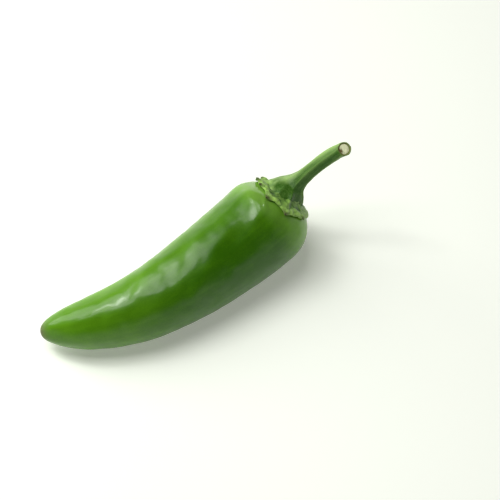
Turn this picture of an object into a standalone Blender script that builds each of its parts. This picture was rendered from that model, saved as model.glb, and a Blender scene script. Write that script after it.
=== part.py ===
"""A green chilli pepper, as picked, lying on its belly: its pod, its calyx and its stem with a cut end.

Metres, +Z up, with the floor at z = 0. The tip points to -X and the stem curves up at +X.
The origin is on the flat spot that the pod rests on, under the centre of mass.
"""

import math

import bmesh
import bpy
import numpy as np
from mathutils import Vector
from mathutils.geometry import interpolate_bezier

# The pod's axis: five points at even steps from the tip to the calyx. A quartic runs through them.
POD_LENGTH = 0.0850
POD_AXIS = (
    (-0.0514, 0.0041, 0.0070),
    (-0.0300, -0.0027, 0.0092),
    (-0.0111, -0.0029, 0.0110),
    (0.0102, 0.0009, 0.0131),
    (0.0294, 0.0052, 0.0194),
)

# The pod's outline as (distance along the axis, radius): Bezier pieces from the tip over the shoulder
# to the pole, the middle of the calyx's seat. Each piece is its start, its two handles and its end.
SHOULDER_RADIUS = 0.0136
POLE_STATION = 0.0873
POD_OUTLINE = (
    ((0.0, 0.0), (0.0, 0.0070), (0.0166, 0.0084), (0.0236, 0.0094)),
    ((0.0236, 0.0094), (0.0337, 0.01085), (0.0661, SHOULDER_RADIUS), (0.0751, SHOULDER_RADIUS)),
    ((0.0751, SHOULDER_RADIUS), (0.0793, SHOULDER_RADIUS), (POLE_STATION, 0.0097), (POLE_STATION, 0.0)),
)
PIECE_STEPS = (12, 18, 20)
POD_SIDES = 48

# Three seed chambers swell the wall into soft lobes, most of all at the shoulder.
# The hollow between two of them faces down.
LOBES = 3
LOBE_DEPTH = 0.028
LOBE_TURN = math.radians(72)

GAP = 0.0003  # between pieces that touch

# The calyx: a thin cap over the seat with a pointed tooth at the end of each of its veins.
CALYX_EDGE_THICKNESS = 0.0007
CALYX_MIDDLE_THICKNESS = 0.0015
CALYX_REACH = 0.0096  # from the pole to the edge between two teeth, over the skin
CALYX_SHIFT = 0.0018  # the cap reaches further towards the pod's top
CALYX_SHIFT_ANGLE = math.radians(75)
TOOTH_HALF_WIDTH = math.radians(22)
TEETH = (  # angle round the axis in degrees, length
    (-15, 0.0018),
    (50, 0.0032),
    (83, 0.0042),
    (126, 0.0024),
    (180, 0.0027),
    (234, 0.0022),
    (290, 0.0026),
)
CALYX_SIDES = 90
CALYX_RINGS = 16
EDGE_SHARPNESS = 0.5  # below 1, the cap keeps its thickness nearly to its edge

# The stem: it leaves the calyx along the pod's axis, curves up, and ends in a cut with a sunken pith.
STEM_END = Vector((0.0464, 0.0001, 0.0391))
STEM_END_DIRECTION = Vector((0.39, -0.56, 0.73))
STEM_START_HANDLE = 0.0055
STEM_END_HANDLE = 0.0052
STEM_OUTLINE = (  # height above the calyx as a share of the stem's length, radius
    (0.00, 0.0048),
    (0.04, 0.0042),
    (0.09, 0.0035),
    (0.16, 0.0028),
    (0.25, 0.0024),
    (0.36, 0.00213),
    (0.52, 0.0020),
    (0.70, 0.00187),
    (0.92, 0.0018),
    (0.97, 0.0020),
    (1.00, 0.0019),
)
STEM_RINGS = 30
STEM_SIDES = 36
RIBS = 6
RIB_DEPTH = 0.07  # as a share of the radius; the ribs fade out at the cut
PITH_SHARE = 0.66  # of the stem's radius
PITH_DEPTH = 0.0004

POD_GREEN = (0.045, 0.155, 0.008, 1.0)
CALYX_GREEN = (0.190, 0.330, 0.070, 1.0)
STEM_GREEN = (0.110, 0.210, 0.035, 1.0)


def smooth(x):
    """An even ease from 0 to 1."""
    x = min(max(x, 0.0), 1.0)
    return x * x * (3 - 2 * x)


AXIS_CURVE = np.polyfit(np.linspace(0, POD_LENGTH, len(POD_AXIS)), np.array(POD_AXIS), len(POD_AXIS) - 1)
AXIS_SLOPE = np.array([np.polyder(AXIS_CURVE[:, i]) for i in range(3)]).T


def across(direction):
    """The level direction to the right of a heading, and the one that stands on both."""
    right = direction.cross(Vector((0, 0, 1))).normalized()
    return right, right.cross(direction)


def axis_at(station):
    """Centre, heading, right and over at a distance along the pod's axis."""
    centre = Vector([np.polyval(AXIS_CURVE[:, i], station) for i in range(3)])
    heading = Vector([np.polyval(AXIS_SLOPE[:, i], station) for i in range(3)]).normalized()
    return centre, heading, *across(heading)


def pod_outline():
    """(station, radius) of each ring of the pod, from the tip to the pole."""
    rings = [Vector(POD_OUTLINE[0][0])]
    for piece, steps in zip(POD_OUTLINE, PIECE_STEPS):
        start, handle, next_handle, end = (Vector((*point, 0.0)) for point in piece)
        rings += [point.to_2d() for point in interpolate_bezier(start, handle, next_handle, end, steps + 1)[1:]]
    return rings


def pod_point(station, radius, angle):
    """A point of the pod's skin. Angle 0 is its right side, and 90 degrees its top."""
    centre, _, right, over = axis_at(station)
    swell = 1 + LOBE_DEPTH * smooth(station / POD_LENGTH) * math.cos(LOBES * angle + LOBE_TURN)
    return centre + swell * radius * (math.cos(angle) * right + math.sin(angle) * over)


class Seat:
    """The pod's skin measured outwards from its pole. The calyx and the stem's foot follow it."""

    def __init__(self):
        outline = pod_outline()[::-1]
        steps = [0.0] + [(a - b).length for a, b in zip(outline, outline[1:])]
        self.reach = np.cumsum(steps)
        self.stations = [ring[0] for ring in outline]
        self.radii = [ring[1] for ring in outline]

    def skin(self, distance, angle):
        station = float(np.interp(distance, self.reach, self.stations))
        radius = float(np.interp(distance, self.reach, self.radii))
        return pod_point(station, radius, angle)

    def point(self, distance, angle, lift):
        """The skin at a distance from the pole, raised along its own normal."""
        step = 0.0004
        nearby = max(distance, step)  # at the pole itself no direction leads round it
        outward = self.skin(nearby + step, angle) - self.skin(nearby - step, angle)
        around = self.skin(nearby, angle + step / nearby) - self.skin(nearby, angle - step / nearby)
        return self.skin(distance, angle) + lift * around.cross(outward).normalized()


def loft(name, rings, sides, place, origin, material):
    """A UV sphere laid out ring by ring where place(ring, angle) says. Ring 0 and the last are points."""
    mesh_maker = bmesh.new()
    bmesh.ops.create_uvsphere(mesh_maker, u_segments=sides, v_segments=rings, radius=1.0)
    for vertex in mesh_maker.verts:
        ring = round(math.acos(max(-1.0, min(1.0, vertex.co.z))) / math.pi * rings)
        vertex.co = place(ring, math.atan2(vertex.co.y, vertex.co.x)) - origin
    mesh = bpy.data.meshes.new(name)
    mesh_maker.to_mesh(mesh)
    mesh_maker.free()
    mesh.shade_smooth()
    mesh.set_sharp_from_angle(angle=math.radians(50))
    mesh.materials.append(material)
    obj = bpy.data.objects.new(name, mesh)
    obj.location = origin
    return obj


def plain_material(name, colour, roughness):
    material = bpy.data.materials.new(name)
    material.use_nodes = True
    shader = material.node_tree.nodes["Principled BSDF"]
    shader.inputs["Base Color"].default_value = colour
    shader.inputs["Roughness"].default_value = roughness
    shader.inputs["Metallic"].default_value = 0.0
    material.diffuse_color = colour
    return material


def make_pod():
    outline = pod_outline()

    def place(ring, angle):
        return pod_point(*outline[ring], angle)

    green = plain_material("pod_skin", POD_GREEN, 0.15)
    return loft("pod", len(outline) - 1, POD_SIDES, place, Vector(), green)


def cut_flat_spot(pod, cutters):
    """Takes off what would lie under the floor, so that the pod rests on a small flat spot."""
    depth = 0.01
    size = (2 * POD_LENGTH, POD_LENGTH, depth)
    bpy.ops.mesh.primitive_cube_add(size=1, location=(0, 0, -depth / 2), scale=size)
    floor = bpy.context.object
    floor.name = "floor_cutter"
    for collection in list(floor.users_collection):
        collection.objects.unlink(floor)
    cutters.objects.link(floor)
    floor.hide_render = True
    floor.display_type = "WIRE"
    cut = pod.modifiers.new("flat_spot", "BOOLEAN")
    cut.operation = "DIFFERENCE"
    cut.object = floor


def calyx_edge(angle):
    """How far the cap's edge is from the pole at this angle: a scalloped edge with a tooth at each vein."""
    tooth = 0.0
    for degrees, length in TEETH:
        off = abs((angle - math.radians(degrees) + math.pi) % (2 * math.pi) - math.pi)
        tooth = max(tooth, length * max(0.0, 1 - off / TOOTH_HALF_WIDTH) ** 1.6)
    return CALYX_REACH + CALYX_SHIFT * math.cos(angle - CALYX_SHIFT_ANGLE) + tooth


def calyx_thickness(share):
    """The cap's thickness at a share of the way from its middle to its edge."""
    return CALYX_MIDDLE_THICKNESS + share * (CALYX_EDGE_THICKNESS - CALYX_MIDDLE_THICKNESS)


def make_calyx(seat):
    def place(ring, angle):
        """The first half of the rings lie on the seat, the middle one is the edge, the rest are outside."""
        polar = math.pi * ring / CALYX_RINGS
        out = math.sin(polar)
        side = math.copysign(abs(math.cos(polar)) ** EDGE_SHARPNESS, math.cos(polar))
        return seat.point(out * calyx_edge(angle), angle, GAP + calyx_thickness(out) * (1 - side) / 2)

    green = plain_material("calyx", CALYX_GREEN, 0.45)
    return loft("calyx", CALYX_RINGS, CALYX_SIDES, place, seat.skin(0, 0), green)


def make_stem(seat):
    foot_lift = GAP + CALYX_MIDDLE_THICKNESS + GAP
    pod_heading = axis_at(POLE_STATION)[1]
    foot = seat.skin(0, 0) + foot_lift * pod_heading
    end_direction = STEM_END_DIRECTION.normalized()
    handles = (foot + STEM_START_HANDLE * pod_heading, STEM_END - STEM_END_HANDLE * end_direction)
    line = interpolate_bezier(foot, *handles, STEM_END, STEM_RINGS + 1)
    heights = [height for height, _ in STEM_OUTLINE]
    radii = [radius for _, radius in STEM_OUTLINE]

    def ring_at(index):
        """Centre, right and over of one ring along the stem."""
        ahead, behind = line[min(index + 1, STEM_RINGS)], line[max(index - 1, 0)]
        return line[index], *across((ahead - behind).normalized())

    def place(ring, angle):
        """Rings 0 and 1 are the foot on the calyx, the last three are the cut with its sunken pith."""
        index = min(max(ring - 1, 0), STEM_RINGS)
        height = index / STEM_RINGS
        rib = RIB_DEPTH * (1 - height**4) * math.cos(RIBS * angle)
        radius = float(np.interp(height, heights, radii)) * (1 + rib)
        if ring == 0:
            return foot
        if ring == 1:
            return seat.point(radius, angle, GAP + calyx_thickness(radius / calyx_edge(angle)) + GAP)
        centre, right, over = ring_at(index)
        spoke = math.cos(angle) * right + math.sin(angle) * over
        past_rim = ring - 1 - STEM_RINGS
        if past_rim <= 0:
            return centre + radius * spoke
        sunk = centre - PITH_DEPTH * (past_rim > 1) * end_direction
        return sunk + (PITH_SHARE * STEM_OUTLINE[-1][1] * spoke if past_rim < 3 else Vector())

    green = plain_material("stem", STEM_GREEN, 0.4)
    return loft("stem", STEM_RINGS + 4, STEM_SIDES, place, foot, green)


def new_collection(name):
    collection = bpy.data.collections.new(name)
    bpy.context.scene.collection.children.link(collection)
    return collection


def main():
    for obj in list(bpy.data.objects):
        bpy.data.objects.remove(obj)
    pepper, cutters = new_collection("chilli_pepper"), new_collection("cutters")
    seat = Seat()
    pod, calyx, stem = make_pod(), make_calyx(seat), make_stem(seat)
    whole = bpy.data.objects.new("chilli_pepper", None)
    pepper.objects.link(whole)
    for piece in (pod, calyx, stem):
        pepper.objects.link(piece)
        piece.parent = whole
    cut_flat_spot(pod, cutters)


main()
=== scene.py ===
"""A fresh green chilli pepper, lying on a white table under soft studio light."""

import math

import bpy
import numpy as np
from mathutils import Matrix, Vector, noise


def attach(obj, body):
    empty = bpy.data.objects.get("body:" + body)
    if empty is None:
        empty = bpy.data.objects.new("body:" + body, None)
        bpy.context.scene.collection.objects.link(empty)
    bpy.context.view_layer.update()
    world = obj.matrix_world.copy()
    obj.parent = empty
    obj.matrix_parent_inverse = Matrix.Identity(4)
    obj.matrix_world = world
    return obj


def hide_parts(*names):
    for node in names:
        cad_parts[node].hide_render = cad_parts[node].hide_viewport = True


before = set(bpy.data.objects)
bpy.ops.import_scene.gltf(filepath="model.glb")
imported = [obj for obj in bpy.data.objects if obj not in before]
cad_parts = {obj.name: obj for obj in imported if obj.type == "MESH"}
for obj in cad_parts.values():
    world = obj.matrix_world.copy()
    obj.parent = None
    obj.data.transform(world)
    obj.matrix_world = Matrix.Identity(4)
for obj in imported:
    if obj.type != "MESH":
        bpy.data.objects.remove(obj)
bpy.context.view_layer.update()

# The pod
# The fruit itself: a hollow berry with a thick wall and a taut, waxy skin. It grew slightly bent, with
# three seed chambers that show as soft lobes at the shoulder, and it lies on its belly.

MM = 0.001

POD_LENGTH = 85 * MM
POD_AXIS = MM * np.array(  # the middle of the pod at five even steps from the tip
    [(-51.4, 4.1, 7.0), (-30.0, -2.7, 9.2), (-11.1, -2.9, 11.0), (10.2, 0.9, 13.1), (29.4, 5.2, 19.4)]
)
SHOULDER_RADIUS = 13.6
POLE_STATION = 87.3
POD_OUTLINE = MM * np.array(  # (distance along the axis, radius) of three Bezier pieces
    [
        ((0, 0), (0, 7.0), (16.6, 8.4), (23.6, 9.4)),
        ((23.6, 9.4), (33.7, 10.85), (66.1, SHOULDER_RADIUS), (75.1, SHOULDER_RADIUS)),
        ((75.1, SHOULDER_RADIUS), (79.3, SHOULDER_RADIUS), (POLE_STATION, 9.7), (POLE_STATION, 0)),
    ]
)
LOBES = 3
LOBE_DEPTH = 0.028  # as a share of the radius
LOBE_TURN = math.radians(72)
# Each lump: distance from the tip in mm, angle, height in mm, half length in mm, half breadth in degrees.
POD_LUMPS = (
    (11.0, 68, 0.27, 9.0, 10),
    (16.8, 116, -0.32, 9.0, 14),
    (16.7, 55, 0.13, 7.5, 36),
    (18.5, 72, -0.17, 3.1, 14.0),
    (28.8, 68, 0.08, 5.6, 29),
    (38.6, 80, -0.46, 5.2, 12.6),
    (42.5, 109, 0.20, 6.0, 13.3),
    (49.9, 58, 0.39, 2.9, 20.6),
    (52.8, 95, 0.52, 8.3, 13),
    (63.1, 77, -0.19, 8.5, 13.8),
    (59.6, 81, 0.50, 3.8, 9.5),
    (74.6, 117, -0.26, 9.0, 13),
    (71.4, 99, 0.26, 6.5, 11),
    (27.3, 84, -0.10, 1.6, 12),
    (43.0, 82, -0.10, 1.8, 14),
    (47.5, 86, -0.09, 1.5, 14),
    (53.0, 82, -0.12, 1.8, 14),
    (71.3, 72, 0.34, 2.6, 8),
    (78.2, 78, 0.30, 0.9, 4.5),
    (30, 0, 0.20, 8.0, 24),
    (64, 190, 0.35, 8.0, 30),
    (40, 180, -0.30, 7.0, 26),
    (56, 240, 0.30, 8.0, 34),
    (22, 230, -0.20, 5.0, 30),
)
# Where the wax shines more or less, set out as the lumps are, with the change in shine for the height.
POD_GLOSS = (
    (71.9, 79, 3.2, 1.2, 4.5),
    (71.5, 88, -0.40, 5.0, 16),
    (72.9, 95, -1.60, 1.7, 7),
    (74.9, 84, -1.50, 0.9, 9),
    (82.0, 103, 2.5, 2.6, 18),
    (76.0, 112, 0.9, 4.0, 16),
    (78.0, 78, 2.0, 1.0, 5),
    (62.5, 88, -1.00, 4.2, 18),
    (56.8, 84, -0.85, 3.0, 16),
    (49.8, 84, 0.25, 1.2, 8),
    (46.0, 90, -1.30, 0.9, 14),
    (41.9, 85, 0.90, 1.2, 7),
    (38.9, 88, -0.70, 0.7, 12),
    (28.7, 88, -1.30, 0.9, 12),
    (25.0, 85, 0.60, 1.1, 6),
    (36.0, 84, 0.25, 2.0, 10),
)
LUMP_LEAN = 0.2  # mm along the pod for each degree round it
FURROWS = ((40, 0.10), (118, 0.12), (196, 0.20), (305, 0.18))  # angle, depth in mm
FURROW_HALF_BREADTH = 9  # degrees
FURROW_RUN = (38, 30)  # where the furrows begin, and over what length they deepen, in mm from the tip
FURROW_END = 4  # mm over which they fade out at the pole
POD_UNEVENNESS = ((7, 0.12), (3.2, 0.10))  # size, height in mm
SMOOTH_RADIUS = 5 * MM  # where the pod is thinner than this, its lumps fade out
TIP_NUB = 0.32 * MM  # how far the blunt tip stands out
TIP_NUB_RADIUS = 3.6 * MM
NARROWEST = 0.02 * MM  # the radius of the first and the last ring
POD_STEPS = (60, 110, 90)  # rings on each piece of the outline
POD_SIDES = 220
SETTLE = 0.12 * MM  # how softly the belly flattens where it touches the table

axis_curve = np.polyfit(np.linspace(0, POD_LENGTH, len(POD_AXIS)), POD_AXIS, len(POD_AXIS) - 1)
axis_slope = np.array([np.polyder(axis_curve[:, i]) for i in range(3)]).T


def ease(x):
    """An even ease from 0 to 1."""
    x = np.clip(x, 0, 1)
    return x * x * (3 - 2 * x)


def unit(v):
    return v / np.linalg.norm(v, axis=-1, keepdims=True)


def bezier(points, steps):
    """steps + 1 points along one Bezier piece."""
    t = np.linspace(0, 1, steps + 1)[:, None]
    left = 1 - t
    start, handle, next_handle, end = np.asarray(points)
    return left**3 * start + 3 * left**2 * t * handle + 3 * left * t**2 * next_handle + t**3 * end


def across(heading):
    """The level direction to the right of each heading, and the one that stands on both."""
    right = unit(np.cross(heading, (0, 0, 1)))
    return right, np.cross(right, heading)


def axis_at(station):
    """Centre, heading, right and over of the pod at a distance from its tip."""
    centre = np.stack([np.polyval(axis_curve[:, i], station) for i in range(3)], -1)
    heading = unit(np.stack([np.polyval(axis_slope[:, i], station) for i in range(3)], -1))
    return centre, heading, *across(heading)


def skin(station, radius, angle):
    """Points of the pod's skin. Angle 0 is its right side, and a quarter turn its top."""
    station, radius, angle = np.broadcast_arrays(station, radius, angle)
    centre, _, right, over = axis_at(station)
    swell = 1 + LOBE_DEPTH * ease(station / POD_LENGTH) * np.cos(LOBES * angle + LOBE_TURN)
    spoke = np.cos(angle)[..., None] * right + np.sin(angle)[..., None] * over
    return centre + (radius * swell)[..., None] * spoke


def settle(points):
    """Nothing goes below the table: what would is pressed flat, softly."""
    z = points[..., 2]
    points[..., 2] = (z + np.sqrt(z * z + SETTLE**2)) / 2
    return points


def from_angle(angle, degrees):
    """How far each angle is from that one, in radians, the shorter way round."""
    return (angle - math.radians(degrees) + math.pi) % (2 * math.pi) - math.pi


def band(angle, degrees, half_breadth):
    """A soft lengthwise band: 1 along its middle, fading out on both sides."""
    return np.exp(-0.5 * (from_angle(angle, degrees) / math.radians(half_breadth)) ** 2)


def along_pod(station, start, fade):
    """0 up to start, then easing to 1 over the fade, both in mm from the tip."""
    return ease((station / MM - start) / fade)


def straight(radius, turn, along):
    """The grain of a piece: each point's place as if the piece were straight, with its fibres along z."""
    along = np.broadcast_to(along, np.broadcast_shapes(radius.shape, turn.shape))
    return np.stack([radius * np.cos(turn), radius * np.sin(turn), along], -1)


def lay_rings(name, rings, grain):
    """A mesh through rings of points, with a cap at each end and its grain kept on its points."""
    count, sides = rings.shape[:2]
    corner = np.arange(count * sides).reshape(count, sides)
    own, following = corner[:-1], corner[1:]
    walls = np.stack([own, np.roll(own, -1, 1), np.roll(following, -1, 1), following], -1)
    faces = walls.reshape(-1, 4).tolist() + [corner[0][::-1].tolist(), corner[-1].tolist()]
    mesh = bpy.data.meshes.new(name)
    mesh.from_pydata(rings.reshape(-1, 3).tolist(), [], faces)
    laid = mesh.attributes.new("grain", "FLOAT_VECTOR", "POINT")
    laid.data.foreach_set("vector", grain.astype(np.float32).ravel())
    mesh.shade_smooth()
    piece = bpy.data.objects.new(name, mesh)
    bpy.context.scene.collection.objects.link(piece)
    return piece


def spots(table, station, angle):
    """The sum of soft round spots, each at its place on the pod."""
    total = np.zeros(np.broadcast_shapes(station.shape, angle.shape))
    for at, degrees, amount, length, breadth in table:
        off = from_angle(angle, degrees)
        along = (station / MM - at - LUMP_LEAN * np.degrees(off)) / length
        total += amount * np.exp(-0.5 * (along**2 + (off / math.radians(breadth)) ** 2))
    return total


def lumps(station, angle):
    """The swellings and dents of one real fruit, as heights over the even shape."""
    height = spots(POD_LUMPS, station, angle)
    ends = along_pod(station, *FURROW_RUN) * ease((POLE_STATION - station / MM) / FURROW_END)
    for degrees, depth in FURROWS:
        height -= depth * ends * band(angle, degrees, FURROW_HALF_BREADTH)
    return height * MM


def uneven(grain, size, height):
    """Soft unevenness of about that size and height in millimetres."""
    points = grain.reshape(-1, 3) / (size * MM)
    values = np.array([noise.noise(Vector(point)) for point in points])
    return height * MM * values.reshape(grain.shape[:2])


curves = [bezier(points, steps)[:-1] for points, steps in zip(POD_OUTLINE, POD_STEPS)]
outline = np.concatenate(curves + [POD_OUTLINE[-1][-1:]])
outline[:, 1] = np.maximum(outline[:, 1], NARROWEST)
turn = np.linspace(0, 2 * math.pi, POD_SIDES, endpoint=False)
station, radius = outline[:, :1], outline[:, 1:]
at_tip = station < POD_LENGTH / 2
pod_grain = straight(radius, turn, station)
relief = lumps(station, turn)
for size, rise in POD_UNEVENNESS:
    relief = relief + uneven(pod_grain, size, rise)
relief = ease(radius / SMOOTH_RADIUS) * relief
tip_nub = TIP_NUB * np.exp(-((radius / TIP_NUB_RADIUS) ** 4)) * at_tip
pod = lay_rings("pod_flesh", settle(skin(station - tip_nub, radius + relief, turn)), pod_grain)
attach(pod, "root")
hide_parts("pod")


def add_node(tree, kind, inputs=(), **settings):
    """A shader node with its settings, and with values or links for its named or numbered inputs."""
    node = tree.nodes.new(kind)
    for name, value in settings.items():
        setattr(node, name, value)
    for name, value in dict(inputs).items():
        if isinstance(value, bpy.types.NodeSocket):
            tree.links.new(value, node.inputs[name])
        else:
            node.inputs[name].default_value = value
    return node


def mark(piece, name, values):
    """Stores one number for each point of the piece, for its material to read."""
    numbers = piece.data.attributes.new(name, "FLOAT", "POINT")
    numbers.data.foreach_set("value", np.ascontiguousarray(values, dtype=np.float32).ravel())


PATCH_SCALE = 110  # patches about 9 mm across
CLOUD_SCALE = 300  # the wax is uneven over about 3 mm
PORE_SCALE = 2600  # pores about 0.4 mm apart
FIBRE_STRETCH = 0.06  # a fibre's width as a share of its length
MIDDLE_NOISE = 0.5  # the noise swings evenly round this
DRY_SPECKLE = 1.2  # how far the pores break up a dried place
PATCH_ROUGHNESS = 0.25
DRY_ROUGHNESS = 0.4  # how much rougher a dried place is
WAX_CLOUDS = 1.6  # how uneven the wax is, as a share of itself
PORE_HEIGHT = 0.35  # a pore's depth as a share of a fibre's
# The colour of the painted sheen: a whitish highlight painted onto the pod where the reflection of the
# light runs on to the cap.
PAINTED_SHEEN_COLOR = (0.46, 0.45, 0.34, 1)


def plant_skin_group():
    """The green surface of a plant.

    It has soft patches, lengthwise fibres, fine pores, a painted whitish sheen that stands in for a
    highlight, and dried, brown places.
    """
    group = bpy.data.node_groups.new("plant_skin", "ShaderNodeTree")
    for name, kind in (
        ("Grain", "Vector"),
        ("Deep", "Color"),
        ("Light", "Color"),
        ("Dry Color", "Color"),
        ("Pale", "Float"),
        ("Dry", "Float"),
        ("Patches", "Float"),
        ("Fibres", "Float"),
        ("Fibre Width", "Float"),
        ("Pores", "Float"),
        ("Roughness", "Float"),
        ("Wax", "Float"),
        ("Gloss", "Float"),
        ("Bloom", "Float"),
    ):
        group.interface.new_socket(name=name, in_out="INPUT", socket_type="NodeSocket" + kind)
    for name, kind in (("Color", "Color"), ("Roughness", "Float"), ("Wax", "Float"), ("Height", "Float")):
        group.interface.new_socket(name=name, in_out="OUTPUT", socket_type="NodeSocket" + kind)
    given = group.nodes.new("NodeGroupInput").outputs
    result = group.nodes.new("NodeGroupOutput").inputs

    def maths(operation, first, second, clamp=False):
        settings = {"operation": operation, "use_clamp": clamp}
        return add_node(group, "ShaderNodeMath", {0: first, 1: second}, **settings).outputs[0]

    def tint(share, first, second):
        mix = add_node(group, "ShaderNodeMix", {0: share, 6: first, 7: second}, data_type="RGBA")
        return mix.outputs[2]

    def cloudy(place, scale, detail):
        inputs = {"Vector": place, "Scale": scale, "Detail": detail}
        return add_node(group, "ShaderNodeTexNoise", inputs).outputs["Fac"]

    def swing(values, amount):
        return maths("MULTIPLY", maths("SUBTRACT", values, MIDDLE_NOISE), amount)

    patches = cloudy(given["Grain"], PATCH_SCALE, 4)
    pores = cloudy(given["Grain"], PORE_SCALE, 2)
    lengthwise = {0: given["Grain"], 1: (1, 1, FIBRE_STRETCH)}
    drawn = add_node(group, "ShaderNodeVectorMath", lengthwise, operation="MULTIPLY").outputs[0]
    fibres = cloudy(drawn, maths("DIVIDE", 1.0, given["Fibre Width"]), 3)
    marks = maths("ADD", swing(patches, given["Patches"]), swing(fibres, given["Fibres"]))
    lightness = maths("ADD", maths("ADD", given["Pale"], swing(pores, given["Pores"])), marks, True)
    speckled = maths("MULTIPLY", given["Dry"], swing(pores, DRY_SPECKLE))
    dried = maths("ADD", given["Dry"], speckled, True)
    green = tint(lightness, given["Deep"], given["Light"])
    # The painted sheen, a whitish painted highlight, is mixed over the green.
    sheen_over_green = tint(given["Bloom"], green, PAINTED_SHEEN_COLOR)
    group.links.new(tint(dried, sheen_over_green, given["Dry Color"]), result["Color"])
    worn = maths("ADD", given["Roughness"], swing(patches, PATCH_ROUGHNESS))
    rough = maths("ADD", worn, maths("MULTIPLY", dried, DRY_ROUGHNESS), True)
    group.links.new(rough, result["Roughness"])
    clouds = cloudy(given["Grain"], CLOUD_SCALE, 2)
    coated = maths("ADD", maths("ADD", 1.0, given["Gloss"]), swing(clouds, WAX_CLOUDS))
    wax = maths("MULTIPLY", given["Wax"], maths("MAXIMUM", coated, 0.0), True)
    group.links.new(wax, result["Wax"])
    group.links.new(maths("ADD", fibres, maths("MULTIPLY", pores, PORE_HEIGHT)), result["Height"])
    return group


plant_skin = plant_skin_group()


def plant_material(name, surface, bump_depth, **shine):
    """A material of plant_skin with its own values. It reads the piece's grain and marks."""
    material = bpy.data.materials.new(name)
    material.use_nodes = True
    tree = material.node_tree
    shader = tree.nodes["Principled BSDF"]
    for key, value in shine.items():
        shader.inputs[key.replace("_", " ")].default_value = value
    marked = add_node(tree, "ShaderNodeGroup", node_tree=plant_skin)
    for key, value in surface.items():
        marked.inputs[key].default_value = value
    for key in ("grain", "pale", "dry", "gloss", "bloom"):
        read = add_node(tree, "ShaderNodeAttribute", attribute_name=key)
        output = "Vector" if key == "grain" else "Fac"
        tree.links.new(read.outputs[output], marked.inputs[key.title()])
    tree.links.new(marked.outputs["Color"], shader.inputs["Base Color"])
    tree.links.new(marked.outputs["Roughness"], shader.inputs["Roughness"])
    if "Wax" in surface:
        tree.links.new(marked.outputs["Wax"], shader.inputs["Coat Weight"])
    relief = {"Height": marked.outputs["Height"], "Distance": bump_depth}
    bump = add_node(tree, "ShaderNodeBump", relief)
    tree.links.new(bump.outputs["Normal"], shader.inputs["Normal"])
    return material


# Bands along the pod: the middle and half breadth of each, in degrees.
BACK_SIDE = (115, 32)
RIGHT_SIDE = (0, 38)
FAR_RIM = (142, 13)
PAINTED_SHEEN_SIDE = (98, 34)
# Stretches of the pod: where each begins, and over what length it comes up, in mm from the tip.
TIP_RUN = (4, 50)
SHOULDER_RUN = (70, 12)
PAINTED_SHEEN_RUN = (72.5, 5.5)
# Where a painted highlight streak runs along the top of the pod.
HIGHLIGHT_STREAK = ((35, 93, 1.0, 11, 12), (50, 93, 0.4, 5, 12), (72, 84, 0.7, 4, 9))  # set out as the lumps are
# How much paler each place is, from 0 for the deep green to 1 for the light one. The tip is paler partly in
# its own colour and partly as painted light. The back side and the far rim are painted light, the highlight
# streak is a painted highlight, and the shoulder is a painted reflection of the light round it.
TIP_PALE = 0.36
BACK_PALE = 0.25
HIGHLIGHT_STREAK_PALE = 0.20
RIM_PALE = 0.45
SHOULDER_PALE = 0.20
SHOULDER_BACK_PALE = 0.7
SHOULDER_RIGHT_PALE = 0.60
PAINTED_SHEEN = 0.13
TIP_SCAR = 0.75
TIP_SCAR_RADIUS, TIP_SCAR_FADE = 1.2, 3.0  # mm

# Painted light and reflection: the back side, the far rim and the shoulder are painted paler where the
# light falls and is reflected, and so is the top where the painted highlight streak runs.
back_side = band(turn, *BACK_SIDE)
sides = SHOULDER_BACK_PALE * back_side + SHOULDER_RIGHT_PALE * band(turn, *RIGHT_SIDE)
shoulder = along_pod(station, *SHOULDER_RUN) * (SHOULDER_PALE + sides)
pale = TIP_PALE * (1 - along_pod(station, *TIP_RUN)) + BACK_PALE * back_side + shoulder
pale = pale + HIGHLIGHT_STREAK_PALE * spots(HIGHLIGHT_STREAK, station, turn) + RIM_PALE * band(turn, *FAR_RIM)
mark(pod, "pale", pale)
tip_scar = TIP_SCAR * (1 - ease((radius / MM - TIP_SCAR_RADIUS) / TIP_SCAR_FADE)) * at_tip
mark(pod, "dry", tip_scar + 0 * turn)
mark(pod, "gloss", spots(POD_GLOSS, station, turn))
# Painted sheen: a whitish painted highlight along the shoulder beside the cap.
mark(pod, "bloom", PAINTED_SHEEN * along_pod(station, *PAINTED_SHEEN_RUN) * band(turn, *PAINTED_SHEEN_SIDE))
pod_skin = plant_material(
    "pod_skin",
    {
        "Deep": (0.033, 0.126, 0.0003, 1),
        "Light": (0.170, 0.425, 0.0060, 1),
        "Dry Color": (0.10, 0.07, 0.02, 1),
        "Patches": 0.45,
        "Fibres": 0.22,
        "Fibre Width": 0.0011,
        "Pores": 0.25,
        "Roughness": 0.36,
        "Wax": 0.36,
    },
    bump_depth=0.015 * MM,
    Specular_IOR_Level=0.21,
    Coat_Roughness=0.13,
)
pod.data.materials.append(pod_skin)

# The calyx
# The cap of thick green leaf tissue that held the flower. It has grown onto the pod's shoulder, and each of
# its veins runs out into a tooth with a dark, dried point.

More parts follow.
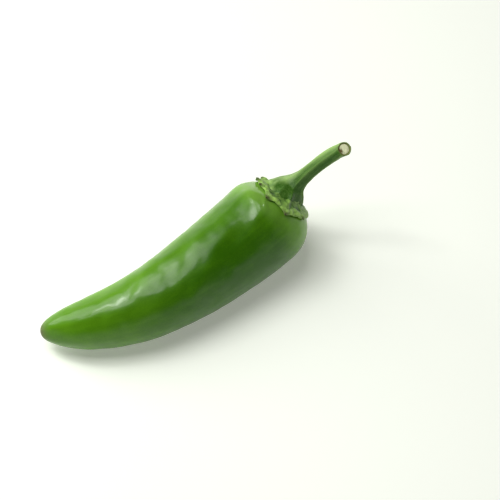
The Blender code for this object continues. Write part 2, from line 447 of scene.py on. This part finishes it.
# The cap's edge: angle round the pod's axis, and how far it is from the pod's pole in mm, over the skin.
CALYX_EDGE = (
    (-31, 8.7),
    (4, 9.5),
    (25, 11.2),
    (42, 12.5),
    (66, 13.0),
    (80, 12.9),
    (95, 11.8),
    (112, 11.1),
    (144, 11.2),
    (165, 11.1),
    (200, 10.0),
    (260, 9.0),
    (329, 8.8),
)
CALYX_GAP = 0.1 * MM
MIDDLE_THICKNESS = 1.5 * MM
EDGE_THICKNESS = 0.40 * MM
VEIN_HEIGHT = 0.40 * MM
VEIN_HALF_WIDTH = 0.70 * MM
ROLL_HEIGHT = 0.45 * MM  # the swollen border just inside the edge
EDGE_LIFT = 0.12 * MM
CALYX_KNOBS = (  # reach in mm, angle, height in mm, half width in mm
    (5.8, 136, 0.75, 2.4),
    (11.8, 99, 0.50, 0.9),
    (9.8, 106, 0.40, 0.9),
    (7.2, 118, -0.50, 0.8),
    (7.4, 96, -0.40, 0.8),
    (9.2, 85, -0.30, 1.0),
    (12.6, 74, 0.35, 0.8),
    (10.6, 66, -0.25, 0.8),
    (13.0, 59, 0.25, 0.8),
    (9.3, 56, 0.30, 0.9),
    (8.9, 46, -0.25, 0.8),
    (9.0, 33, 0.30, 1.0),
    (11.6, 40, 0.25, 0.8),
    (7.8, 17, -0.25, 0.9),
    (8.6, 126, -0.20, 0.9),
    (10.4, 138, 0.20, 0.8),
)
ROLL_STRENGTH = (  # angle in degrees, share of the roll's full height there
    (-30, 0.9),
    (0, 0.7),
    (20, 1.1),
    (36, 0.6),
    (50, 1.0),
    (61, 0.5),
    (72, 1.2),
    (83, 0.7),
    (98, 0.9),
    (112, 0.4),
    (122, 1.1),
    (140, 0.5),
    (165, 1.0),
    (200, 0.6),
    (225, 1.1),
    (270, 0.6),
    (300, 1.0),
)
TEETH = (  # angle in degrees, length in mm, curl of the point in mm, strength of its vein
    (-40, 0.6, 0.0, 0.6),
    (8, 0.8, 0.1, 0.5),
    (50, 2.5, 0.3, 1.0),
    (83, 3.0, 0.3, 0.9),
    (112, 1.0, 0.3, 0.4),
    (131, 0.7, 1.1, 0.3),
    (152, 0.3, 0.0, 0.8),
    (185, 0.6, 1.3, 0.9),
    (225, 1.4, 0.2, 0.6),
    (272, 1.8, 0.3, 0.9),
)
TOOTH_HALF_WIDTH = 15  # degrees
TOOTH_SHARPNESS = 1.7
CURL_HALF_WIDTH = 6  # degrees
DRY_HALF_WIDTH = 5  # degrees
EDGE_RAGGEDNESS = ((7, 3, 0.35), (21, 8, 0.16))  # how fine, which part of the noise, height in mm
# Places on the cap, as shares of the way from its middle to its edge.
THINNING_START, THINNING_LENGTH = 0.28, 0.26
ROLL_PLACE, ROLL_HALF_WIDTH = 0.86, 0.12
PALE_ROLL_PLACE = 0.92
CURL_START, CURL_LENGTH = 0.72, 0.28
LIFT_START, LIFT_LENGTH = 0.74, 0.26
UNDER_LIFT_START, UNDER_LIFT_LENGTH = 0.82, 0.18
DRY_START, DRY_LENGTH = 0.86, 0.12
VEIN_FADE = 0.4  # the share of its height that a vein loses towards the edge
EDGE_FULLNESS = 0.35  # 1 for a round edge, less for a square one
CRINKLES = ((2.3, 0.20), (1.1, 0.14))  # size, height in mm
CREASE_SIZE = 1.9  # mm between creases
CREASE_HALF_WIDTH = 0.07  # as a share of the noise's height
CREASE_DEPTH = 0.13 * MM
CALYX_SIDES = 480
CALYX_RINGS = 96
FIRST_RING = 0.01  # radians from the middle

inward = outline[::-1]
seat_reach = np.concatenate([[0], np.cumsum(np.linalg.norm(np.diff(inward, axis=0), axis=1))])


def seat_skin(distance, angle):
    """The skin at a distance from the pod's pole."""
    station = np.interp(distance, seat_reach, inward[:, 0])
    radius = np.interp(distance, seat_reach, inward[:, 1])
    return skin(station, radius, angle)


def seat(distance, angle, lift):
    """The skin at a distance from the pole, raised along its own normal."""
    step = 0.3 * MM
    distance, angle, lift = np.broadcast_arrays(distance, angle, lift)
    nearby = np.maximum(distance, step)
    outward = seat_skin(nearby + step, angle) - seat_skin(nearby - step, angle)
    around = seat_skin(nearby, angle + step / nearby) - seat_skin(nearby, angle - step / nearby)
    return seat_skin(distance, angle) + lift[..., None] * unit(np.cross(around, outward))


def calyx_edge(angle):
    """How far the cap reaches: a scalloped edge with a tooth at the end of each vein."""
    tooth = np.zeros_like(angle)
    for degrees, length, _, _ in TEETH:
        near = np.maximum(0, 1 - np.abs(from_angle(angle, degrees)) / math.radians(TOOTH_HALF_WIDTH))
        tooth = np.maximum(tooth, length * MM * near**TOOTH_SHARPNESS)
    reach = np.interp(np.degrees(angle), *zip(*CALYX_EDGE), period=360)
    for fineness, layer, height in EDGE_RAGGEDNESS:
        round_edge = [(fineness * math.cos(a), fineness * math.sin(a), layer) for a in angle]
        reach = reach + height * np.array([noise.noise(Vector(point)) for point in round_edge])
    return reach * MM + tooth


def calyx_veins(distance, angle):
    """1 on the ridge of a vein, 0 between veins."""
    veins = 0
    for degrees, _, _, strength in TEETH:
        off = distance * from_angle(angle, degrees)
        veins = np.maximum(veins, strength * np.exp(-((off / VEIN_HALF_WIDTH) ** 2)))
    return veins


def calyx_curl(share, angle):
    """How far the teeth's points bend away from the pod."""
    curl = 0
    for degrees, _, height, _ in TEETH:
        off = from_angle(angle, degrees) / math.radians(CURL_HALF_WIDTH)
        curl = np.maximum(curl, height * MM * np.exp(-(off**2)))
    return curl * ease((share - CURL_START) / CURL_LENGTH)


def calyx_knobs(distance, angle):
    """The fleshy knobs and hollows of the cap."""
    height = 0
    for reach, degrees, rise, half_width in CALYX_KNOBS:
        off = np.hypot(distance - reach * MM, reach * MM * from_angle(angle, degrees))
        height = height + rise * MM * np.exp(-((off / (half_width * MM)) ** 2))
    return height


def calyx_roll(share, angle, place):
    """The swollen border at that share of the way out: 1 on its ridge at full strength."""
    strength = np.interp(np.degrees(angle), *zip(*ROLL_STRENGTH), period=360)
    return strength * np.exp(-(((share - place) / ROLL_HALF_WIDTH) ** 2))


def calyx_top(distance, angle):
    """The height of the cap's outer face over the skin."""
    share = np.clip(distance / calyx_edge(angle), 0, 1)
    thinned = ease((share - THINNING_START) / THINNING_LENGTH)
    body = MIDDLE_THICKNESS + (EDGE_THICKNESS - MIDDLE_THICKNESS) * thinned
    roll = ROLL_HEIGHT * calyx_roll(share, angle, ROLL_PLACE)
    edge = EDGE_LIFT * ease((share - LIFT_START) / LIFT_LENGTH) + calyx_curl(share, angle)
    veins = VEIN_HEIGHT * calyx_veins(distance, angle) * (1 - VEIN_FADE * share)
    raised = veins + calyx_knobs(distance, angle)
    return CALYX_GAP + np.maximum(body + raised + roll, EDGE_THICKNESS) + edge


def calyx_under(distance, angle):
    """The height of the cap's inner face over the skin."""
    share = np.clip(distance / calyx_edge(angle), 0, 1)
    lifted = EDGE_LIFT * ease((share - UNDER_LIFT_START) / UNDER_LIFT_LENGTH)
    return CALYX_GAP + lifted + calyx_curl(share, angle)


turn = np.linspace(0, 2 * math.pi, CALYX_SIDES, endpoint=False)
# Round the cap's section: from its inner face's middle, over the edge, to its outer face's middle.
polar = np.linspace(FIRST_RING, math.pi - FIRST_RING, CALYX_RINGS)[:, None]
share = np.sin(polar)
outside = (1 - np.sign(np.cos(polar)) * np.abs(np.cos(polar)) ** EDGE_FULLNESS) / 2
distance = share * calyx_edge(turn)
lift = calyx_under(distance, turn) * (1 - outside) + calyx_top(distance, turn) * outside
calyx_grain = straight(distance, turn, lift)
crinkles = sum(uneven(calyx_grain, size, rise) for size, rise in CRINKLES)
creases = np.exp(-((uneven(calyx_grain, CREASE_SIZE, 1) / MM / CREASE_HALF_WIDTH) ** 2))
lift = lift + outside * (crinkles - CREASE_DEPTH * creases)
calyx = lay_rings("calyx_cap", seat(distance, turn, lift), calyx_grain)
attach(calyx, "root")
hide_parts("calyx")

# How much paler or darker each form is, from 0 for the deep green to 1 for the light one. Over the cap's
# own green this is painted light and shade: a painted highlight along the veins and the swollen border,
# knobs and crinkles painted lighter, and hollows and creases painted darker as shade.
CALYX_PALE = 0.27
VEIN_PALE = 0.20
ROLL_PALE = 0.44
HOLLOW_PALE, KNOB_PALE = -0.34, 0.45  # the most that a hollow darkens, and a knob lightens
CREASE_SHADE = 0.32
CALYX_DRY = 0.95
LONG_TOOTH = 1.2  # a tooth at least this long in mm has a wholly dried point

dry_width = math.radians(DRY_HALF_WIDTH)
dry_points = sum(
    min(1, length / LONG_TOOTH + curl) * np.exp(-((from_angle(turn, tooth) / dry_width) ** 2))
    for tooth, length, curl, _ in TEETH
)
# Painted light and shade on the cap's forms: what stands up is painted lighter, what sinks in is painted
# darker.
knobs = np.clip(calyx_knobs(distance, turn) / MM, HOLLOW_PALE, KNOB_PALE)
painted_form_shade = knobs + crinkles / MM - CREASE_SHADE * creases
# A painted highlight on the veins and on the swollen border.
painted_vein_and_roll_light = VEIN_PALE * calyx_veins(distance, turn) + ROLL_PALE * calyx_roll(share, turn, PALE_ROLL_PLACE)
mark(calyx, "pale", CALYX_PALE + painted_vein_and_roll_light + painted_form_shade)
mark(calyx, "dry", CALYX_DRY * ease((share - DRY_START) / DRY_LENGTH) * np.clip(dry_points, 0, 1))
calyx_green = plant_material(
    "calyx_green",
    {
        "Deep": (0.045, 0.125, 0.018, 1),
        "Light": (0.445, 0.720, 0.150, 1),
        "Dry Color": (0.040, 0.032, 0.012, 1),
        "Patches": 0.5,
        "Fibres": 0.25,
        "Fibre Width": 0.0006,
        "Pores": 0.3,
        "Roughness": 0.45,
    },
    bump_depth=0.04 * MM,
    Specular_IOR_Level=0.35,
)
calyx.data.materials.append(calyx_green)

# The stem
# The ribbed stalk by which the fruit hung. It is one growth with the calyx: its ribs run on into the veins,
# and its foot spreads over the cap. The picker's cut left a drying brown rim round the pale pith.

STEM_END = MM * np.array((46.0, 0.2, 38.8))
STEM_END_DIRECTION = unit(np.array((0.39, -0.56, 0.73)))
STEM_START_HANDLE = 5.5 * MM
STEM_END_HANDLE = 5.2 * MM
STEM_OUTLINE = np.array(  # share of the stem's length, radius in mm
    [
        (0, 5.4),
        (0.04, 4.3),
        (0.09, 3.5),
        (0.16, 2.8),
        (0.25, 2.4),
        (0.36, 2.22),
        (0.52, 2.16),
        (0.70, 2.14),
        (0.92, 2.02),
        (0.97, 2.10),
        (1, 2.05),
    ]
)
STEM_RIBS = (-20, 50, 108, 162, 215, 275)  # angles in degrees, with a nearly flat side between each two
RIB_SHARPNESS = 0.85
RIB_SOFTENING = 0.65  # the share of their sharpness that the ribs lose towards the cut
CUT_FACE = unit(np.array((0.10, -0.55, 0.83)))  # the cut is a little slanting
CUT_START, CUT_LENGTH = 0.86, 0.14  # the last rings turn into the slant of the cut
# The rim over the cut: share of the stem's radius, rise and distance along the surface in mm, dryness.
LIP = np.array(
    [
        (0.985, 0.07, 0.1, 0.1),
        (0.95, 0.11, 0.2, 0.45),
        (0.90, 0.08, 0.4, 0.80),
        (0.85, -0.02, 0.6, 1),
        (0.82, -0.15, 0.8, 1),
        (0.80, -0.5, 1.1, 1),
    ]
)
DRYING_UNDER_CUT = (0.05, 0.12, 0.2)  # the dryness of the last three rings below the rim
# Places are shares of the stem's length from its foot, swellings shares of its radius, angles in degrees.
FOOT_END, LOW_END = 0.09, 0.35
LOW_FLARE, FOOT_FLARE, LEAST_FLARE, FLARE_ANGLE = 0.20, 0.27, -0.02, 142
FRONT_FLARE, FRONT_END, FRONT_ANGLE, FRONT_HALF_BREADTH = 0.34, 0.10, 70, 42
SWELLING, SWELLING_PLACE, SWELLING_LENGTH, SWELLING_ANGLE = 0.13, 0.72, 0.2, 100
KNOTS = (1.6, 0.05)  # size, height in mm
FOOT_KNOTS = (1.2, 0.30)
FOOT_SINK = 0.06 * MM  # how deep the foot goes into the cap
SMOOTHED = 12  # rings on each side that even out the stem's outline
STEM_RINGS = 120
STEM_SIDES = 180
BELOW_CUT = slice(STEM_RINGS - 4)  # the knotty rings: the last few before the cut are even

pole_heading = axis_at(np.array(POLE_STATION * MM))[1]
foot = seat_skin(np.array(0.0), np.array(0.0)) + (CALYX_GAP + MIDDLE_THICKNESS) * pole_heading
stem_line = bezier(
    (
        foot,
        foot + STEM_START_HANDLE * pole_heading,
        STEM_END - STEM_END_HANDLE * STEM_END_DIRECTION,
        STEM_END,
    ),
    STEM_RINGS,
)


def ribs(angle):
    """The stem's outline over a round one: highest on the ribs and lower on the flat sides between them."""
    outline = np.ones_like(angle)
    for start, end in zip(STEM_RIBS, STEM_RIBS[1:] + (STEM_RIBS[0] + 360,)):
        half = math.radians(end - start) / 2
        off = from_angle(angle, (start + end) / 2)
        outline = np.where(np.abs(off) <= half, math.cos(half) ** 0.5 / np.cos(off), outline)
    return outline - 1


turn = np.linspace(0, 2 * math.pi, STEM_SIDES, endpoint=False)
height = np.linspace(0, 1, STEM_RINGS + 1)[:, None]
heading = unit(np.gradient(stem_line, axis=0))
right, over = across(heading)
spoke = np.cos(turn)[:, None] * right[:, None] + np.sin(turn)[:, None] * over[:, None]
at_foot = 1 - ease(height / FOOT_END)

radius = np.interp(height, STEM_OUTLINE[:, 0], STEM_OUTLINE[:, 1]) * MM
smoothing = np.exp(-0.5 * (np.arange(-SMOOTHED, SMOOTHED + 1) / (SMOOTHED / 3)) ** 2)
padded = np.pad(radius[:, 0], SMOOTHED, mode="edge")
radius = np.convolve(padded, smoothing / smoothing.sum(), mode="valid")[:, None]
ribbed = RIB_SHARPNESS * (1 - RIB_SOFTENING * height**1.5) * ribs(turn)
flare = LOW_FLARE * (1 - ease(height / LOW_END)) + FOOT_FLARE * at_foot
fuller = np.maximum(flare * np.cos(turn - math.radians(FLARE_ANGLE)), LEAST_FLARE)
front_side = np.exp(-((from_angle(turn, FRONT_ANGLE) / math.radians(FRONT_HALF_BREADTH)) ** 2))
front = FRONT_FLARE * (1 - ease(height / FRONT_END)) * front_side
swollen_side = np.maximum(np.cos(turn - math.radians(SWELLING_ANGLE)), 0)
swelling = SWELLING * np.exp(-(((height - SWELLING_PLACE) / SWELLING_LENGTH) ** 2)) * swollen_side
radius = radius * (1 + ribbed + fuller + front + swelling)
tube = stem_line[:, None] + radius[..., None] * spoke

off_face = radius * (spoke @ CUT_FACE) / (heading @ CUT_FACE)[:, None]
slant = -off_face[..., None] * heading[:, None]
tube = tube + slant * ease((height - CUT_START) / CUT_LENGTH)[..., None]

risen = np.linalg.norm(stem_line - foot, axis=1)[:, None]
on_cap = seat(radius, turn, calyx_top(radius, turn) - FOOT_SINK + risen)
tube = tube * (1 - at_foot[..., None]) + on_cap * at_foot[..., None]

lip_radius = radius[-1] * LIP[:, :1]
end_spoke = (tube[-1] - STEM_END) / radius[-1][:, None]
lip = STEM_END + MM * LIP[:, 1, None, None] * CUT_FACE + lip_radius[..., None] * end_spoke
stem_rings = np.concatenate([tube, lip])
reach = np.concatenate([[0], np.cumsum(np.linalg.norm(np.diff(stem_line, axis=0), axis=1))])
along = np.concatenate([reach, reach[-1] + MM * LIP[:, 2]])[:, None]
stem_grain = straight(np.concatenate([radius, lip_radius]), turn, along)
knotty = uneven(stem_grain, *KNOTS)[BELOW_CUT]
knotty = knotty + at_foot[BELOW_CUT] * uneven(stem_grain, *FOOT_KNOTS)[BELOW_CUT]
stem_rings[BELOW_CUT] += knotty[..., None] * spoke[BELOW_CUT]
stem = lay_rings("stem_stalk", stem_rings, stem_grain)
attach(stem, "root")
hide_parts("stem")

# Bands along the stem: the middle and half breadth of each, in degrees.
LIT_FLANK = (124, 30)
UPPER_FLANK = (96, 28)
DARK_FLANK, DARK_HALF_BREADTH = 40, 44
DARK_FLANK_DRIFT = 0.38  # how far the dark flank turns towards the foot, in radians
HOLLOW_ANGLE, HOLLOW_BREADTH = 112, 0.55  # degrees, radians
HOLLOW_PLACE, HOLLOW_LENGTH = 0.045, 0.035
UPPER_START, UPPER_LENGTH = 0.4, 0.3
BASE_END = 0.07
# How much paler or darker each place is, from 0 for the deep green to 1 for the light one. The lit and
# shaded flanks and the hollow at the foot are painted light and painted shade, and the ribs carry a painted
# highlight; the mottles at the foot are the stem's own uneven tone.
STEM_PALE, DARKEST = 0.26, 0.07
LIT, LIT_LOW, LIT_UPPER, TOP_UPPER = 0.45, 0.40, 0.10, 0.38
SHADED, SHADED_LOW, HOLLOW_SHADE = 0.12, 0.26, 0.55
RIB_PALE, RIB_MIDDLE = 1.8, 0.02
MOTTLE_SIZE, MOTTLING, MOTTLE_MIDDLE, MOTTLE_LEAST = 1.2, 1.3, 0.16, -0.34

height = np.concatenate([height, np.ones((len(LIP), 1))])
low = 1 - ease(height / LOW_END)
upper = ease((height - UPPER_START) / UPPER_LENGTH)
dark_off = (from_angle(turn, DARK_FLANK) - DARK_FLANK_DRIFT * low) / math.radians(DARK_HALF_BREADTH)
dark_flank = np.exp(-0.5 * dark_off**4)
# Painted shade in the hollow at the foot.
foot_hollow = np.exp(-(((height - HOLLOW_PLACE) / HOLLOW_LENGTH) ** 2))
foot_hollow = foot_hollow * np.exp(-((from_angle(turn, HOLLOW_ANGLE) / HOLLOW_BREADTH) ** 2))
flanks = (LIT + LIT_LOW * low + LIT_UPPER * upper) * band(turn, *LIT_FLANK)
flanks = flanks + TOP_UPPER * upper * band(turn, *UPPER_FLANK)
flanks = flanks - (SHADED + SHADED_LOW * low) * dark_flank - HOLLOW_SHADE * foot_hollow
mottles = MOTTLING * uneven(stem_grain, MOTTLE_SIZE, 1) / MM - MOTTLE_MIDDLE
mottled = (1 - ease(height / BASE_END)) * np.maximum(mottles, MOTTLE_LEAST)
# A painted highlight along the ribs, weaker at the foot.
rib_highlight = (RIB_PALE - low) * (ribs(turn) + RIB_MIDDLE)
mark(stem, "pale", np.maximum(STEM_PALE + rib_highlight + flanks + mottled, DARKEST))
dry = np.concatenate([np.zeros(STEM_RINGS + 1 - len(DRYING_UNDER_CUT)), DRYING_UNDER_CUT, LIP[:, 3]])
mark(stem, "dry", dry[:, None] + 0 * turn)
stem_green = plant_material(
    "stem_green",
    {
        "Deep": (0.032, 0.116, 0.003, 1),
        "Light": (0.310, 0.490, 0.140, 1),
        "Dry Color": (0.215, 0.245, 0.070, 1),
        "Patches": 0.5,
        "Fibres": 0.5,
        "Fibre Width": 0.0004,
        "Pores": 0.3,
        "Roughness": 0.46,
    },
    bump_depth=0.05 * MM,
    Specular_IOR_Level=0.28,
)
stem.data.materials.append(stem_green)

# The pith
# The stem's soft, spongy white core, laid open by the picker's cut. It fills the stem inside its rim, and
# dries from its edge inwards, where it has sunk and turned brown.

PITH_RADIUS = 1.72 * MM
PITH_DEPTH = 0.35 * MM
PITH_SINK = (0.3, 0.9)  # shares of that depth: everywhere, and more at the edge
PITH_SKIRT = 0.6 * MM
PITH_UNEVENNESS = (0.45, 0.07)  # size, height in mm
PITH_RINGS = 26
PITH_SIDES = 96
PITH_MIDDLE = 0.02  # where the first ring is, as a share of the radius
PITH_PALE, EDGE_DULLING, SKIRT_PALE = 1.25, 0.15, 0.2  # shares of the way to the light cream
EDGE_DRY, EDGE_DRY_START, EDGE_DRY_LENGTH = 0.75, 0.80, 0.20
ROT, ROT_START, ROT_LENGTH = 1.1, 0.25, 0.35
ROT_SIDE = (2, 26)  # the middle and half breadth of the rotten side, in degrees

turn = np.linspace(0, 2 * math.pi, PITH_SIDES, endpoint=False)
share = np.linspace(PITH_MIDDLE, 1, PITH_RINGS)[:, None]
cut_right, cut_over = across(CUT_FACE)
cut_spoke = np.cos(turn)[:, None] * cut_right + np.sin(turn)[:, None] * cut_over
face_grain = straight(share * PITH_RADIUS, turn, 0.0)
face_height = -PITH_DEPTH * (PITH_SINK[0] + PITH_SINK[1] * share**6) + uneven(face_grain, *PITH_UNEVENNESS)
face = STEM_END + face_height[..., None] * CUT_FACE + (share * PITH_RADIUS)[..., None] * cut_spoke
skirt = face[-1:] - PITH_SKIRT * CUT_FACE
pith_grain = np.concatenate([face_grain, face_grain[-1:]])[::-1]
pith = lay_rings("stem_pith", np.concatenate([face, skirt])[::-1], pith_grain)
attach(pith, "root")

pale = np.concatenate([PITH_PALE - EDGE_DULLING * share, [[SKIRT_PALE]]])
mark(pith, "pale", pale[::-1] + 0 * turn)
rotten = ROT * band(turn, *ROT_SIDE) * ease((share - ROT_START) / ROT_LENGTH)
dry = EDGE_DRY * ease((share - EDGE_DRY_START) / EDGE_DRY_LENGTH) + rotten
mark(pith, "dry", np.concatenate([dry, np.ones((1, PITH_SIDES))])[::-1])
pith_cream = plant_material(
    "pith_cream",
    {
        "Deep": (0.60, 0.56, 0.28, 1),
        "Light": (1.0, 1.0, 0.66, 1),
        "Dry Color": (0.17, 0.13, 0.05, 1),
        "Patches": 0.6,
        "Fibres": 0.8,
        "Fibre Width": 0.00018,
        "Pores": 0.4,
        "Roughness": 0.6,
    },
    bump_depth=0.05 * MM,
    Specular_IOR_Level=0.3,
)
pith.data.materials.append(pith_cream)

# The table and the light
# A white table top that runs out of the picture. One broad soft panel hangs over the pepper, a narrow one
# stands over its tip and a broad one behind it. The room is white along the table and dark above it.

TABLE_SIZE = 4
TABLE_COLOR = (0.92, 0.92, 0.88, 1)
TABLE_GLOW, TABLE_GLOW_STRENGTH = (1, 1, 0.93, 1), 0.25
TABLE_ROUGHNESS = 0.7
LIGHT_TINT = (0.96, 1.0, 0.94)
LIT_POINT = Vector((0, 0, 0.012))
ROOM_COLOR = (0.97, 1.0, 0.90, 1)
WHITE_UP_TO, DARK_FROM = 0.02, 0.34  # heights in the room, as the upward part of a direction
WHITE_STRENGTH, DARK_STRENGTH = 1.0, 0.03

bpy.ops.mesh.primitive_plane_add(size=TABLE_SIZE)
table = bpy.context.object
table.name = "table_top"
table_white = bpy.data.materials.new("table_white")
table_white.use_nodes = True
white = table_white.node_tree.nodes["Principled BSDF"].inputs
white["Base Color"].default_value = TABLE_COLOR
white["Roughness"].default_value = TABLE_ROUGHNESS
white["Emission Color"].default_value = TABLE_GLOW
white["Emission Strength"].default_value = TABLE_GLOW_STRENGTH
table.data.materials.append(table_white)


def panel(name, direction, distance, size, radiance):
    """A rectangular soft light of that radiance, hung in that direction from the pepper and facing it."""
    light = bpy.data.lights.new(name, "AREA")
    light.shape = "RECTANGLE"
    light.size, light.size_y = size
    light.energy = radiance * math.pi * size[0] * size[1]
    light.color = LIGHT_TINT
    lamp = bpy.data.objects.new(name, light)
    bpy.context.scene.collection.objects.link(lamp)
    away = Vector(direction).normalized()
    lamp.location = LIT_POINT + distance * away
    lamp.rotation_euler = away.to_track_quat("Z", "Y").to_euler()


panel("overhead_panel", (-0.25, 0.165, 0.954), 0.55, (0.26, 0.42), 5.2)
panel("tip_window", (-0.34, 0.36, 0.87), 0.50, (0.06, 0.20), 9.0)
panel("back_panel", (-0.383, 0.678, 0.63), 0.75, (0.31, 0.68), 4.2)

world = bpy.data.worlds.new("room")
bpy.context.scene.world = world
world.use_nodes = True
room = world.node_tree
towards = add_node(room, "ShaderNodeTexCoord").outputs["Generated"]
upward = add_node(room, "ShaderNodeSeparateXYZ", {"Vector": towards}).outputs["Z"]
fading = {
    "Value": upward,
    "From Min": DARK_FROM,
    "From Max": WHITE_UP_TO,
    "To Min": DARK_STRENGTH,
    "To Max": WHITE_STRENGTH,
}
walls = add_node(room, "ShaderNodeMapRange", fading)
room.links.new(walls.outputs[0], room.nodes["Background"].inputs["Strength"])
room.nodes["Background"].inputs["Color"].default_value = ROOM_COLOR

# The camera
# It looks down at the pepper from its left through a long lens. Its distance and its focal length together
# make each pixel of the picture that many millimetres wide at the pepper.

VIEW_AZIMUTH, VIEW_ELEVATION = math.radians(-28), math.radians(55)
CAMERA_AIM = MM * Vector((11.02, -7.36, 20.86))
CAMERA_DISTANCE = 403 * MM
MM_PER_PIXEL = 0.2904
PICTURE_WIDTH = 500
SENSOR_WIDTH = 36

camera = bpy.data.cameras.new("camera")
camera.sensor_width = SENSOR_WIDTH
camera.lens = SENSOR_WIDTH * CAMERA_DISTANCE / MM / (PICTURE_WIDTH * MM_PER_PIXEL)
viewer = bpy.data.objects.new("camera", camera)
bpy.context.scene.collection.objects.link(viewer)
back = Vector(
    (
        math.sin(VIEW_AZIMUTH) * math.cos(VIEW_ELEVATION),
        -math.cos(VIEW_AZIMUTH) * math.cos(VIEW_ELEVATION),
        math.sin(VIEW_ELEVATION),
    )
)
viewer.location = CAMERA_AIM + CAMERA_DISTANCE * back
viewer.rotation_euler = back.to_track_quat("Z", "Y").to_euler()
bpy.context.scene.camera = viewer
bpy.context.scene.view_settings.view_transform = "Standard"
